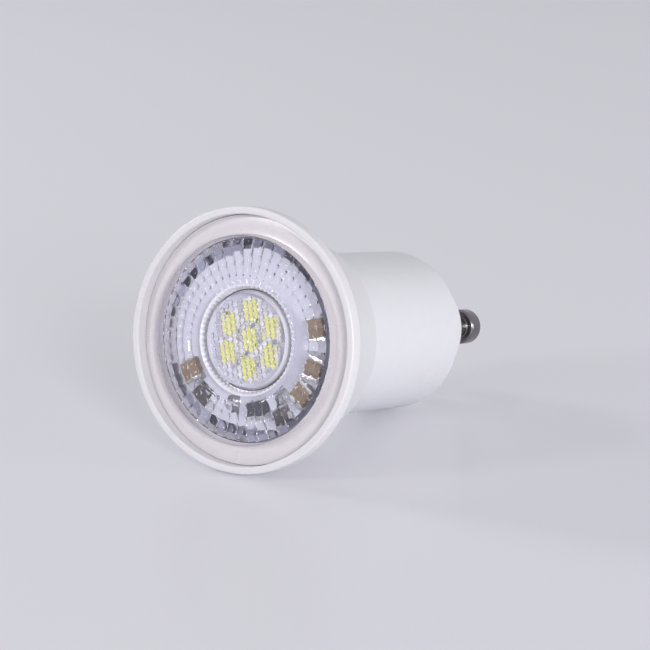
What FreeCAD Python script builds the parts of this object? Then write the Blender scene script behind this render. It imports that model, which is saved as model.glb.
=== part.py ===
"""Twist-lock spotlight bulb, 35 mm face: a clear lens plate over seven light chips, in a white housing.

The frame stands on the front rim: origin at the centre of the rim's front plane, +Z along the lamp's
axis towards the contact pins, X through the two pins. Lengths are in millimetres, angles in degrees.
"""
import FreeCAD, Part
import Sketcher
import math
import os
import re

# Driving dimensions
SIZES = {
    # front housing: rim band and flared cup
    "rim_radius": 17.5,
    "rim_wall": 1.0,
    "rim_height": 1.8,
    "rim_step": 0.25,
    "rim_round": 0.25,
    "ledge_width": 1.8,
    "cup_length": 12.5,
    "cup_shoulder": 2.2,
    "cup_flare_radius": 64.0,
    "cup_back_wall": 1.3,
    "cup_round": 0.5,
    # clearances
    "fit_gap": 0.3,
    "close_gap": 0.15,
    "thin_gap": 0.05,
    # lens plate
    "flange_front": 1.6,
    "flange_thickness": 0.8,
    "flange_width": 2.7,
    "plateau_rise": 1.25,
    "plateau_draft": 0.15,
    "plate_thickness": 1.6,
    "flange_show": 2.46,
    "facet_start_step": 2.2,
    "facet_rows": 4,
    "facet_count": 48,
    "facet_groove_width": 0.34,
    "facet_groove_depth": 0.1,
    "dish_depth": 0.2,
    "dish_slope": 0.3,
    "foot_top_width": 1.05,
    "foot_wall": 0.45,
    "foot_gap": 1.05,
    "foot_draft": 0.3,
    "flute_count": 64,
    "flute_width": 0.45,
    "flute_depth": 0.2,
    "bead_pitch": 0.87,
    "bead_flat": 0.8,
    "bead_top_share": 0.45,
    "bead_height": 0.3,
    "bead_sink": 0.05,
    "bead_field_radius": 5.45,
    "bead_turn": 22.0,
    # light chips and their board
    "board_depth": 3.6,
    "board_thickness": 1.0,
    "board_gap": 2.8,
    "chip_ring_radius": 3.7,
    "chip_ring_turn": 35.0,
    "chip_ring_count": 6,
    "chip_width": 2.8,
    "chip_length": 3.5,
    "chip_height": 0.75,
    "chip_frame": 0.3,
    "chip_well": 0.45,
    "phosphor_height": 0.37,
    "pad_thickness": 0.3,
    "pad_inset": 0.4,
    "sink_thickness": 1.0,
    "skirt_gap": 0.85,
    "skirt_wall": 1.2,
    "skirt_length": 2.5,
    # small parts on the light board
    "cap_length": 3.2,
    "cap_width": 2.5,
    "cap_height": 1.0,
    "cap_end": 0.5,
    "cap_end_step": 0.05,
    "cap_inset": 1.35,
    "resistor_length": 3.2,
    "resistor_width": 1.6,
    "resistor_height": 0.6,
    "resistor_inset": 0.95,
    "chip_driver_length": 2.9,
    "chip_driver_width": 1.7,
    "chip_driver_height": 1.1,
    "chip_driver_inset": 2.6,
    "lead_width": 0.4,
    "lead_reach": 0.45,
    "lead_thickness": 0.2,
    "lead_pitch": 0.95,
    # base: cylinder, end wall and pin boss
    "base_radius": 11.1,
    "base_wall": 1.2,
    "base_end": 38.1,
    "base_end_wall": 1.5,
    "base_round": 0.3,
    "base_flange_width": 0.9,
    "base_flange_thickness": 1.3,
    "boss_margin": 2.9,
    "boss_wall": 0.9,
    "boss_height": 6.2,
    "boss_end_wall": 1.5,
    "rail_width": 0.8,
    "rail_reach": 1.5,
    "rail_bite": 0.3,
    # contact pins
    "pin_spacing": 10.0,
    "pin_neck_radius": 1.55,
    "pin_head_radius": 2.5,
    "pin_head_height": 2.6,
    "pin_reach": 6.3,
    "pin_round": 0.45,
    "pin_collar_radius": 1.9,
    "pin_collar_height": 0.8,
    "pin_tail": 0.9,
    # driver board and what it carries
    "driver_side_gap": 0.7,
    "driver_thickness": 1.2,
    "driver_back": 3.0,
    "driver_length": 21.6,
    "can_radius": 3.15,
    "can_length": 11.0,
    "can_side": 4.4,
    "can_from_end": 5.6,
    "can_groove": 0.3,
    "can_groove_place": 1.4,
    "can_lead_radius": 0.3,
    "can_lead_pitch": 2.5,
    "can_lead_run": 1.8,
    "coil_inset": 4.6,
    "coil_from_end": 12.6,
    "coil_flange_radius": 3.2,
    "coil_flange": 0.9,
    "coil_height": 6.0,
    "coil_post_radius": 1.6,
    "coil_winding_radius": 2.7,
    "bridge_length": 4.7,
    "bridge_width": 3.9,
    "bridge_height": 2.3,
    "bridge_from_end": 12.0,
    "fuse_radius": 1.2,
    "fuse_length": 5.0,
    "fuse_from_end": 2.4,
    "fuse_lead_run": 0.9,
    "fuse_lead_radius": 0.3,
    # leads between the boards and to the pins
    "wire_radius": 0.5,
    "solder_gap": 0.95,
    "wire_hole_gap": 0.25,
    "red_wire_angle": 58.0,
    "black_wire_angle": 111.0,
    "wire_drop": 3.85,
    "wire_bend_radius": 1.6,
    "wire_lie_length": 4.0,
    "pin_wire_drop": 1.8,
    "pin_wire_slant": 2.0,
    "pin_wire_lie": 3.4,
    "pin_wire_bend": 1.2,
    "solder_radius": 1.1,
    "solder_top_radius": 0.5,
    "solder_height": 0.55,
}

# Places worked out from the driving dimensions, as formulas on their names
RIM_BORE = "(rim_radius - rim_wall)"
LEDGE = "(flange_front + flange_thickness)"
LEDGE_BORE = "(rim_radius - rim_wall - ledge_width)"
BOARD_RADIUS = "(rim_radius - rim_wall - ledge_width - board_gap)"
PLATEAU = "(flange_front - plateau_rise)"
PLATE_BACK = "(flange_front - plateau_rise + plate_thickness)"
FLANGE_RADIUS = "(rim_radius - rim_wall - fit_gap)"
FOOT_INNER = "(chip_ring_radius + chip_length / 2 + foot_gap)"
FOOT_OUTER = f"({FOOT_INNER} + foot_wall)"
FACET_START = f"({FOOT_INNER} + facet_start_step)"
FACET_END = f"({FLANGE_RADIUS} - flange_show)"
FACET_PITCH = f"(({FACET_END} - {FACET_START}) / facet_rows)"
WIRE_RING = f"({FOOT_OUTER} + solder_radius + solder_gap)"
SKIRT_RADIUS = f"({WIRE_RING} - wire_radius - wire_hole_gap - skirt_gap)"
BOARD_BACK = "(board_depth + board_thickness)"
PAD_BACK = "(board_depth + board_thickness + pad_thickness)"
SINK_BACK = "(board_depth + board_thickness + pad_thickness + sink_thickness)"
CUP_FLOOR = "(cup_length - cup_back_wall)"
CUP_BACK = "(base_radius + cup_shoulder)"
BASE_BORE = "(base_radius - base_wall)"
BASE_FLOOR = "(base_end - base_end_wall)"
BASE_FLANGE = "(base_radius + base_flange_width)"
CUP_BORE = "(base_radius + base_flange_width + fit_gap)"
CUP_TAPER = f"(({LEDGE_BORE} - {CUP_BORE}) / ({CUP_FLOOR} - {LEDGE}))"
SINK_RADIUS = f"({LEDGE_BORE} - {CUP_TAPER} * ({SINK_BACK} - {LEDGE}) - close_gap)"
BOSS_RADIUS = "(pin_spacing / 2 + boss_margin)"
BOSS_END = "(base_end + boss_height)"
BOSS_FLOOR = "(base_end + boss_height - boss_end_wall)"
DRIVER_FACE = "(driver_thickness - driver_back)"
DRIVER_FRONT = f"({BASE_FLOOR} - driver_length)"
DRIVER_WIDTH = f"(2 * ({BASE_BORE} - driver_side_gap))"

# What the small parts on the light board are and where they stand round it
TAN_CAPACITOR_ANGLES = (-8.0, 20.0, 41.5, 157.0)
RESISTOR_ANGLES = (64.5, 137.0)
DRIVER_CHIP_ANGLE = 85.0
DRIVER_CHIP_LEADS = 3

HEXAGON_SIDES = 6
CORNER_TO_FLAT = math.sqrt(3)

NAME_PATTERN = re.compile(r"[a-z][a-z_]+")

doc = FreeCAD.newDocument("spotlight_bulb")


def make_sheet():
    """Put the driving dimensions in a sheet, one named cell each."""
    sheet = doc.addObject("Spreadsheet::Sheet", "Sizes")
    for row, (name, value) in enumerate(SIZES.items(), start=1):
        sheet.set(f"A{row}", name)
        sheet.set(f"B{row}", str(value))
        sheet.setAlias(f"B{row}", name)
    doc.recompute()
    return sheet


SHEET = make_sheet()


def linked(formula):
    """Point every size name in a formula at its cell in the sheet."""
    def cell(match):
        name = match.group(0)
        return f"Sizes.{name}" if name in SIZES else name
    return NAME_PATTERN.sub(cell, formula)


def value(formula):
    """Work out a formula with the sheet's present numbers."""
    return float(SHEET.evalExpression(linked(formula)))


def bind(thing, **formulas):
    """Tie properties of an object to formulas on the sheet; a double underscore stands for a dot."""
    for name, formula in formulas.items():
        thing.setExpression(name.replace("__", "."), linked(formula))


def place(thing, x="0", y="0", z="0"):
    """Tie an object's place to formulas on the sheet."""
    bind(thing, Placement__Base__x=x, Placement__Base__y=y, Placement__Base__z=z)


def new_body(label):
    """Start a body of its own for one sub-part."""
    body = doc.addObject("PartDesign::Body", label + "_body")
    body.Label = label
    return body


def new_sketch(body, name, role, offset="0"):
    """Lay a sketch on one of the body's own origin planes, moved along its normal by the offset."""
    sketch = body.newObject("Sketcher::SketchObject", name)
    plane = [item for item in body.Origin.OriginFeatures if item.Role == role][0]
    sketch.AttachmentSupport = [(plane, "")]
    sketch.MapMode = "FlatFace"
    bind(sketch, AttachmentOffset__Base__z=offset)
    return sketch


def pin_point(sketch, geometry, end, corner):
    """Hold one point of a sketch at its two formulas, measured from the sketch's origin."""
    origin = (-1, 1)
    for kind, formula in zip(("DistanceX", "DistanceY"), corner):
        index = sketch.addConstraint(Sketcher.Constraint(kind, *origin, geometry, end, value(formula)))
        sketch.setExpression(f"Constraints[{index}]", linked(formula))


def vector(corner):
    """Turn a corner's two formulas into a point in the sketch's plane."""
    return FreeCAD.Vector(value(corner[0]), value(corner[1]), 0)


def arc_between(start, end, radius):
    """Make the short arc from start to end whose centre lies on the left of the way there."""
    chord = end - start
    middle = (start + end) * 0.5
    rise = math.sqrt(radius ** 2 - (chord.Length / 2) ** 2)
    left = FreeCAD.Vector(-chord.y, chord.x, 0).normalize()
    centre = middle + left * rise
    circle = Part.Circle(centre, FreeCAD.Vector(0, 0, 1), radius)
    first = math.atan2(start.y - centre.y, start.x - centre.x)
    last = math.atan2(end.y - centre.y, end.x - centre.x)
    return Part.ArcOfCircle(circle, first, last)


def add_outline(sketch, corners, arcs=None):
    """Draw a closed outline through corners given as pairs of formulas.

    arcs gives the radius, as a formula, of each side that is an arc, by the side's place in the row.
    """
    arcs = arcs or {}
    first = sketch.GeometryCount
    count = len(corners)
    for index in range(count):
        start = vector(corners[index])
        end = vector(corners[(index + 1) % count])
        if index in arcs:
            sketch.addGeometry(arc_between(start, end, value(arcs[index])), False)
        else:
            sketch.addGeometry(Part.LineSegment(start, end), False)
    for index in range(count):
        following = first + (index + 1) % count
        sketch.addConstraint(Sketcher.Constraint("Coincident", first + index, 2, following, 1))
    for index, corner in enumerate(corners):
        pin_point(sketch, first + index, 1, corner)
    for index, radius in arcs.items():
        held = sketch.addConstraint(Sketcher.Constraint("Radius", first + index, value(radius)))
        sketch.setExpression(f"Constraints[{held}]", linked(radius))


def add_rectangle(sketch, left, right, low, high):
    """Draw a rectangle between two pairs of formulas."""
    add_outline(sketch, [(left, low), (right, low), (right, high), (left, high)])


def add_circle(sketch, x, y, radius):
    """Draw a circle with its centre and radius as formulas."""
    centre = vector((x, y))
    circle = Part.Circle(centre, FreeCAD.Vector(0, 0, 1), value(radius))
    index = sketch.addGeometry(circle, False)
    pin_point(sketch, index, 3, (x, y))
    held = sketch.addConstraint(Sketcher.Constraint("Radius", index, value(radius)))
    sketch.setExpression(f"Constraints[{held}]", linked(radius))


def revolve(body, name, corners, arcs=None):
    """Turn an outline of radius and height about the lamp's axis."""
    sketch = new_sketch(body, name + "_profile", "XZ_Plane")
    add_outline(sketch, corners, arcs)
    feature = body.newObject("PartDesign::Revolution", name)
    feature.Profile = sketch
    feature.ReferenceAxis = (sketch, ["V_Axis"])
    feature.Angle = 360
    doc.recompute()
    return feature


def extrude(body, kind, name, sketch, length, backwards=False):
    """Pad or pocket a sketch by a formula; backwards goes against the kind's usual direction."""
    feature = body.newObject(kind, name)
    feature.Profile = sketch
    bind(feature, Length=length)
    feature.Reversed = backwards
    doc.recompute()
    return feature


def repeat_round(body, name, original, count):
    """Repeat a feature evenly round the lamp's axis."""
    axis = [item for item in body.Origin.OriginFeatures if item.Role == "Z_Axis"][0]
    pattern = body.newObject("PartDesign::PolarPattern", name)
    pattern.Originals = [original]
    pattern.Axis = (axis, [""])
    pattern.Angle = 360
    bind(pattern, Occurrences=count)
    body.Tip = pattern
    doc.recompute()
    return pattern


def ring_edges(shape, rings):
    """Name the round edges about the axis that have one of the given radii and heights."""
    names = []
    for number, edge in enumerate(shape.Edges, start=1):
        if not hasattr(edge.Curve, "Radius"):
            continue
        centre = edge.Curve.Center
        for radius, height in rings:
            same = abs(edge.Curve.Radius - value(radius)) < 0.01 and abs(centre.z - value(height)) < 0.01
            if same and math.hypot(centre.x, centre.y) < 0.01:
                names.append(f"Edge{number}")
    return names


def round_rings(body, name, base, rings, radius):
    """Round the ring edges of a body at the given radii and heights."""
    fillet = body.newObject("PartDesign::Fillet", name)
    fillet.Base = (base, ring_edges(base.Shape, rings))
    bind(fillet, Radius=radius)
    doc.recompute()
    return fillet


def box(name, length, width, height, x, y, z):
    """Make a box from its near lower corner, all by formulas."""
    solid = doc.addObject("Part::Box", name)
    bind(solid, Length=length, Width=width, Height=height)
    place(solid, x, y, z)
    return solid


def fuse(label, pieces):
    """Join the solids of one sub-part."""
    joined = doc.addObject("Part::MultiFuse", label + "_joined")
    joined.Shapes = pieces
    joined.Label = label
    return joined


def round_route(points, radius):
    """Make straight runs through the points, with a tangent arc of the given radius at each corner."""
    edges = []
    here = points[0]
    for before, corner, after in zip(points, points[1:], points[2:]):
        arriving = (corner - before).normalize()
        leaving = (after - corner).normalize()
        turn = arriving.getAngle(leaving)
        setback = radius * math.tan(turn / 2)
        start = corner - arriving * setback
        end = corner + leaving * setback
        inward = (leaving - arriving).normalize()
        centre = corner + inward * (radius / math.cos(turn / 2))
        middle = centre - inward * radius
        edges.append(Part.LineSegment(here, start).toShape())
        edges.append(Part.Arc(start, middle, end).toShape())
        here = end
    edges.append(Part.LineSegment(here, points[-1]).toShape())
    return Part.Wire(edges)


def wire_shape(points, radius, bend):
    """Sweep a round wire along a route with tangent arcs."""
    route = round_route(points, bend)
    direction = (points[1] - points[0]).normalize()
    section = Part.Wire([Part.makeCircle(radius, points[0], direction)])
    return route.makePipeShell([section], True, False)


def shape_part(label, shape):
    """Keep a shape made by the functions here as a sub-part of its own."""
    part = doc.addObject("Part::Feature", label + "_shape")
    part.Shape = shape
    part.Placement = FreeCAD.Placement()
    part.Label = label
    return part


# Sub-parts of the housing

def make_front_housing():
    """Rim band, ledge for the lens and flared cup with an open back for the base."""
    body = new_body("front_housing")
    neck = "(rim_radius - rim_step)"
    base_hole = "(base_radius + close_gap)"
    corners = [
        (RIM_BORE, "0"), (RIM_BORE, LEDGE), (LEDGE_BORE, LEDGE), (CUP_BORE, CUP_FLOOR),
        (base_hole, CUP_FLOOR), (base_hole, "cup_length"), (CUP_BACK, "cup_length"),
        (neck, "rim_height"), ("rim_radius", "rim_height"), ("rim_radius", "0"),
    ]
    flare_side = 6
    cup = revolve(body, "cup", corners, {flare_side: "cup_flare_radius"})
    rim = round_rings(body, "rim_rounding", cup, [("rim_radius", "0"), (RIM_BORE, "0")], "rim_round")
    round_rings(body, "back_rounding", rim, [(CUP_BACK, "cup_length")], "cup_round")
    return body


def make_base_shell():
    """Cylinder with a seat flange inside the cup, an end wall, the pin boss and rails for the board."""
    body = new_body("base_shell")
    flange_front = f"({CUP_FLOOR} - base_flange_thickness)"
    boss_bore = f"({BOSS_RADIUS} - boss_wall)"
    corners = [
        (BASE_BORE, SINK_BACK), ("base_radius", SINK_BACK), ("base_radius", flange_front),
        (BASE_FLANGE, flange_front), (BASE_FLANGE, CUP_FLOOR), ("base_radius", CUP_FLOOR),
        ("base_radius", "base_end"), (BOSS_RADIUS, "base_end"), (BOSS_RADIUS, BOSS_END),
        ("0", BOSS_END), ("0", BOSS_FLOOR), (boss_bore, BOSS_FLOOR), (boss_bore, BASE_FLOOR),
        (BASE_BORE, BASE_FLOOR),
    ]
    shell = revolve(body, "shell", corners)
    rings = [("base_radius", "base_end"), (BOSS_RADIUS, BOSS_END)]
    round_rings(body, "end_rounding", shell, rings, "base_round")
    holes = new_sketch(body, "pin_holes_layout", "XY_Plane", BOSS_END)
    for side in ("-", "+"):
        add_circle(holes, f"({side}pin_spacing / 2)", "0", "(pin_neck_radius + thin_gap)")
    extrude(body, "PartDesign::Pocket", "pin_holes", holes, "boss_end_wall")
    rails = new_sketch(body, "rails_layout", "XY_Plane", DRIVER_FRONT)
    face = f"({DRIVER_FACE} + close_gap)"
    back = "(-driver_back - close_gap)"
    for side in ("-", "+"):
        near = f"({side}({BASE_BORE} - rail_reach))"
        far = f"({side}({BASE_BORE} + rail_bite))"
        add_rectangle(rails, near, far, face, f"({face} + rail_width)")
        add_rectangle(rails, near, far, f"({back} - rail_width)", back)
    extrude(body, "PartDesign::Pad", "rails", rails, "driver_length")
    return body


# The lens plate

def lens_profile():
    """Corners of the lens plate from the axis outwards along the front and back along the rear."""
    dish_edge = f"({FACET_START} - dish_slope)"
    foot_inner_front = f"({FOOT_INNER} - foot_draft)"
    foot_outer_front = f"({foot_inner_front} + foot_top_width)"
    flange_bore = f"({FLANGE_RADIUS} - flange_width)"
    return [
        ("0", f"{PLATEAU} + dish_depth"), (dish_edge, f"{PLATEAU} + dish_depth"),
        (FACET_START, PLATEAU), (FACET_END, PLATEAU),
        (f"{FACET_END} + plateau_draft", "flange_front"), (FLANGE_RADIUS, "flange_front"),
        (FLANGE_RADIUS, LEDGE), (flange_bore, LEDGE), (f"{flange_bore} - plateau_draft", PLATE_BACK),
        (foot_outer_front, PLATE_BACK), (FOOT_OUTER, "board_depth"),
        (FOOT_INNER, "board_depth"), (foot_inner_front, PLATE_BACK), ("0", PLATE_BACK),
    ]


def bead_places():
    """Centres of the honeycomb of beads inside its round field."""
    pitch = value("bead_pitch")
    reach = value("bead_field_radius") - value("bead_flat") / 2
    turn = math.radians(value("bead_turn"))
    rings = int(reach / pitch) + 2
    places = []
    for column in range(-rings, rings + 1):
        for row in range(-rings, rings + 1):
            x = pitch * (column + row / 2)
            y = pitch * row * CORNER_TO_FLAT / 2
            if math.hypot(x, y) <= reach:
                places.append((x * math.cos(turn) - y * math.sin(turn),
                               x * math.sin(turn) + y * math.cos(turn)))
    return places


def hexagon(flat, height, turn):
    """A hexagonal outline of the given width across its flats."""
    corner_radius = flat / CORNER_TO_FLAT
    corners = []
    for side in range(HEXAGON_SIDES + 1):
        angle = math.radians(turn) + math.tau * (side + 0.5) / HEXAGON_SIDES
        x = corner_radius * math.cos(angle)
        y = corner_radius * math.sin(angle)
        corners.append(FreeCAD.Vector(x, y, height))
    return Part.makePolygon(corners)


def make_beads():
    """Hexagonal beads that stand on the back of the plate over the light chips."""
    flat = value("bead_flat")
    turn = value("bead_turn")
    wide = hexagon(flat, value(f"{PLATE_BACK} - bead_sink"), turn)
    narrow = hexagon(flat * value("bead_top_share"), value(f"{PLATE_BACK} + bead_height"), turn)
    bead = Part.makeLoft([wide, narrow], True, True)
    copies = []
    for x, y in bead_places():
        copies.append(bead.translated(FreeCAD.Vector(x, y, 0)))
    beads = doc.addObject("Part::Feature", "beads")
    beads.Shape = Part.makeCompound(copies)
    return beads


def flute_outline(body, name, height, radius):
    """Notch across the foot's outer wall where the wall has the given radius."""
    sketch = new_sketch(body, name, "XY_Plane", height)
    outside = f"({radius} + thin_gap)"
    add_outline(sketch, [(outside, "(-flute_width / 2)"), (outside, "(flute_width / 2)"),
                         (f"({radius} - flute_depth)", "0")])
    return sketch


def make_flutes(body):
    """Ring of notches that follow the slope of the foot's outer wall."""
    foot_outer_front = f"({FOOT_INNER} - foot_draft + foot_top_width)"
    flute = body.newObject("PartDesign::SubtractiveLoft", "flute")
    flute.Profile = flute_outline(body, "flute_back", "board_depth", FOOT_OUTER)
    flute.Sections = [flute_outline(body, "flute_front", PLATE_BACK, foot_outer_front)]
    flute.Ruled = True
    doc.recompute()
    repeat_round(body, "flutes", flute, "flute_count")


def make_lens():
    """Clear plate: flange, faceted ring, smooth centre, fluted foot and a honeycomb of beads."""
    body = doc.addObject("PartDesign::Body", "lens_plate")
    revolve(body, "plate", lens_profile())
    rows = new_sketch(body, "row_grooves_layout", "XZ_Plane")
    half = "(facet_groove_width / 2)"
    for row in range(1, int(value("facet_rows"))):
        middle = f"({FACET_START} + {row} * {FACET_PITCH})"
        add_outline(rows, [(f"{middle} - {half}", PLATEAU), (f"{middle} + {half}", PLATEAU),
                           (middle, f"{PLATEAU} + facet_groove_depth")])
    row_grooves = body.newObject("PartDesign::Groove", "row_grooves")
    row_grooves.Profile = rows
    row_grooves.ReferenceAxis = (rows, ["V_Axis"])
    row_grooves.Angle = 360
    doc.recompute()
    spoke = new_sketch(body, "spoke_groove_layout", "YZ_Plane", FACET_START)
    add_outline(spoke, [(f"-{half}", PLATEAU), (half, PLATEAU), ("0", f"{PLATEAU} + facet_groove_depth")])
    reach = f"{FACET_END} - {FACET_START}"
    groove = extrude(body, "PartDesign::Pocket", "spoke_groove", spoke, reach, True)
    repeat_round(body, "spoke_grooves", groove, "facet_count")
    make_flutes(body)
    return fuse("lens", [body, make_beads()])


# Light board and what stands on it

def wire_spot(angle):
    """Place of a lead round the light board, as two formulas."""
    return f"({WIRE_RING} * cos({angle}))", f"({WIRE_RING} * sin({angle}))"


def make_disc(label, radius, front, thickness):
    """Round plate with a hole for each of the two leads."""
    body = new_body(label)
    outline = new_sketch(body, label + "_outline", "XY_Plane", front)
    add_circle(outline, "0", "0", radius)
    for angle in ("red_wire_angle", "black_wire_angle"):
        x, y = wire_spot(angle)
        add_circle(outline, x, y, "(wire_radius + wire_hole_gap)")
    extrude(body, "PartDesign::Pad", label + "_plate", outline, thickness)
    return body


def make_light_stack():
    """Light board, thermal pad and heat sink, face to face on the base's front edge.

    The heat sink reaches as far out as the taper of the cup's bore lets it.
    """
    board = make_disc("led_board", BOARD_RADIUS, "board_depth", "board_thickness")
    pad = make_disc("thermal_pad", f"({BOARD_RADIUS} - pad_inset)", BOARD_BACK, "pad_thickness")
    sink = make_disc("heat_sink", SINK_RADIUS, PAD_BACK, "sink_thickness")
    skirt = new_sketch(sink, "skirt_layout", "XY_Plane", SINK_BACK)
    add_circle(skirt, "0", "0", SKIRT_RADIUS)
    add_circle(skirt, "0", "0", f"({SKIRT_RADIUS} - skirt_wall)")
    extrude(sink, "PartDesign::Pad", "skirt", skirt, "skirt_length")
    return [board, pad, sink]


def chip_places():
    """Place of each light chip as two formulas: one in the middle and the rest round it."""
    places = [("0", "0")]
    count = int(value("chip_ring_count"))
    for number in range(count):
        angle = f"(chip_ring_turn + {number} * 360 / chip_ring_count)"
        places.append((f"(chip_ring_radius * cos({angle}))", f"(chip_ring_radius * sin({angle}))"))
    return places


def make_light_chips():
    """White chip frames with an open window and the yellow slab that fills it."""
    parts = []
    front = "(board_depth - chip_height)"
    window_width = "(chip_width - 2 * chip_frame)"
    window_length = "(chip_length - 2 * chip_frame)"
    for number, (x, y) in enumerate(chip_places(), start=1):
        body = new_body(f"led_{number}")
        outline = new_sketch(body, f"frame_outline_{number}", "XY_Plane", front)
        add_rectangle(outline, f"({x} - chip_width / 2)", f"({x} + chip_width / 2)",
                      f"({y} - chip_length / 2)", f"({y} + chip_length / 2)")
        extrude(body, "PartDesign::Pad", f"frame_{number}", outline, "chip_height")
        window = new_sketch(body, f"window_outline_{number}", "XY_Plane", front)
        add_rectangle(window, f"({x} - {window_width} / 2)", f"({x} + {window_width} / 2)",
                      f"({y} - {window_length} / 2)", f"({y} + {window_length} / 2)")
        extrude(body, "PartDesign::Pocket", f"window_{number}", window, "chip_well", True)
        slab = box(f"phosphor_slab_{number}", f"{window_width} - 2 * thin_gap",
                   f"{window_length} - 2 * thin_gap", "phosphor_height",
                   f"{x} - {window_width} / 2 + thin_gap", f"{y} - {window_length} / 2 + thin_gap",
                   f"{front} + chip_well - phosphor_height")
        slab.Label = f"phosphor_{number}"
        parts += [body, slab]
    return parts


def round_board(thing, angle):
    """Swing a part, modelled on the X axis, to its angle round the light board."""
    axis = FreeCAD.Vector(0, 0, 1)
    thing.Placement = FreeCAD.Placement(FreeCAD.Vector(0, 0, 0), FreeCAD.Rotation(axis, angle))


def end_capped_block(label, angle, ring, length, width, height):
    """Surface-mounted block with a metal cap at each end, lying along the board's rim."""
    inner = f"({length} - 2 * cap_end)"
    core = box(label + "_core", width, inner, height, f"{ring} - {width} / 2", f"-{inner} / 2",
               f"board_depth - {height} - cap_end_step")
    caps = []
    for side, start in (("low", f"-{length} / 2"), ("high", f"{length} / 2 - cap_end")):
        caps.append(box(f"{label}_{side}_cap", f"{width} + 2 * cap_end_step", "cap_end",
                        f"{height} + 2 * cap_end_step", f"{ring} - {width} / 2 - cap_end_step", start,
                        f"board_depth - {height} - 2 * cap_end_step"))
    part = fuse(label, [core] + caps)
    round_board(part, angle)
    return part


def make_driver_chip():
    """Black current-limiting chip with a row of short leads on each side."""
    ring = f"({BOARD_RADIUS} - chip_driver_inset)"
    front = "(board_depth - chip_driver_height)"
    body_gap = "(chip_driver_height - lead_thickness)"
    core = box("driver_core", "chip_driver_width", "chip_driver_length", body_gap,
               f"{ring} - chip_driver_width / 2", "-chip_driver_length / 2", front)
    leads = []
    for number in range(DRIVER_CHIP_LEADS):
        along = f"(({number} - {DRIVER_CHIP_LEADS - 1} / 2) * lead_pitch)"
        leads.append(box(f"driver_lead_{number}", "chip_driver_width + 2 * lead_reach", "lead_width",
                         "lead_thickness", f"{ring} - chip_driver_width / 2 - lead_reach",
                         f"{along} - lead_width / 2", "board_depth - lead_thickness"))
    part = fuse("driver_ic", [core] + leads)
    round_board(part, DRIVER_CHIP_ANGLE)
    return part


def make_board_parts():
    """Tan capacitors, dark resistors and the driver chip round the light chips."""
    parts = [make_driver_chip()]
    cap_ring = f"({BOARD_RADIUS} - cap_inset)"
    resistor_ring = f"({BOARD_RADIUS} - resistor_inset)"
    for number, angle in enumerate(TAN_CAPACITOR_ANGLES, start=1):
        parts.append(end_capped_block(f"tan_capacitor_{number}", angle, cap_ring,
                                      "cap_length", "cap_width", "cap_height"))
    for number, angle in enumerate(RESISTOR_ANGLES, start=1):
        parts.append(end_capped_block(f"board_resistor_{number}", angle, resistor_ring,
                                      "resistor_length", "resistor_width", "resistor_height"))
    return parts


# Contact pins

def make_contact_pins():
    """Two headed pins, each clamping the boss's end wall between its collar and its tail."""
    parts = []
    inner = f"({BOSS_FLOOR} - pin_tail)"
    under_head = f"({BOSS_END} + pin_reach - pin_head_height)"
    tip = f"({BOSS_END} + pin_reach)"
    collar = f"({BOSS_END} + pin_collar_height)"
    corners = [
        ("0", inner), ("pin_collar_radius", inner), ("pin_collar_radius", BOSS_FLOOR),
        ("pin_neck_radius", BOSS_FLOOR), ("pin_neck_radius", BOSS_END), ("pin_collar_radius", BOSS_END),
        ("pin_collar_radius", collar), ("pin_neck_radius", collar), ("pin_neck_radius", under_head),
        ("pin_head_radius", under_head), ("pin_head_radius", tip), ("0", tip),
    ]
    for number, side in enumerate(("-", "+"), start=1):
        body = new_body(f"contact_pin_{number}")
        pin = revolve(body, f"pin_{number}", corners)
        rings = [("pin_head_radius", under_head), ("pin_head_radius", tip)]
        round_rings(body, f"head_rounding_{number}", pin, rings, "pin_round")
        place(body, x=f"{side}pin_spacing / 2")
        parts.append(body)
    return parts


# Driver board inside the base

def make_driver_board():
    """Upright board whose end stands on the base's end wall, with its edges between the rails."""
    board = box("driver_board_plate", DRIVER_WIDTH, "driver_thickness", "driver_length",
                f"-{DRIVER_WIDTH} / 2", "-driver_back", DRIVER_FRONT)
    board.Label = "driver_board"
    return board


def bent_lead(start, along, board_y, radius):
    """Round lead that runs straight out and then turns down onto the board."""
    corner = start + along
    foot = FreeCAD.Vector(corner.x, board_y, corner.z)
    return wire_shape([start, corner, foot], radius, radius * 2)


def make_storage_capacitor():
    """Upright can that lies on the driver board, with a rolled groove and two bent leads."""
    radius = value("can_radius")
    groove = value("can_groove")
    x = value("-can_side")
    board_y = value(DRIVER_FACE)
    y = board_y + value("thin_gap") + radius
    bottom = value(f"{BASE_FLOOR} - can_from_end")
    place_point = FreeCAD.Vector(x, y, bottom - value("can_length"))
    can = Part.makeCylinder(radius, value("can_length"), place_point)
    ring_middle = FreeCAD.Vector(x, y, bottom - value("can_groove_place"))
    can = can.cut(Part.makeTorus(radius + groove / 3, groove, ring_middle))
    for side in (-1, 1):
        start = FreeCAD.Vector(x + side * value("can_lead_pitch") / 2, y, bottom)
        run = FreeCAD.Vector(0, 0, value("can_lead_run"))
        can = can.fuse(bent_lead(start, run, board_y, value("can_lead_radius")))
    return shape_part("electrolytic_capacitor", can)


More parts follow.
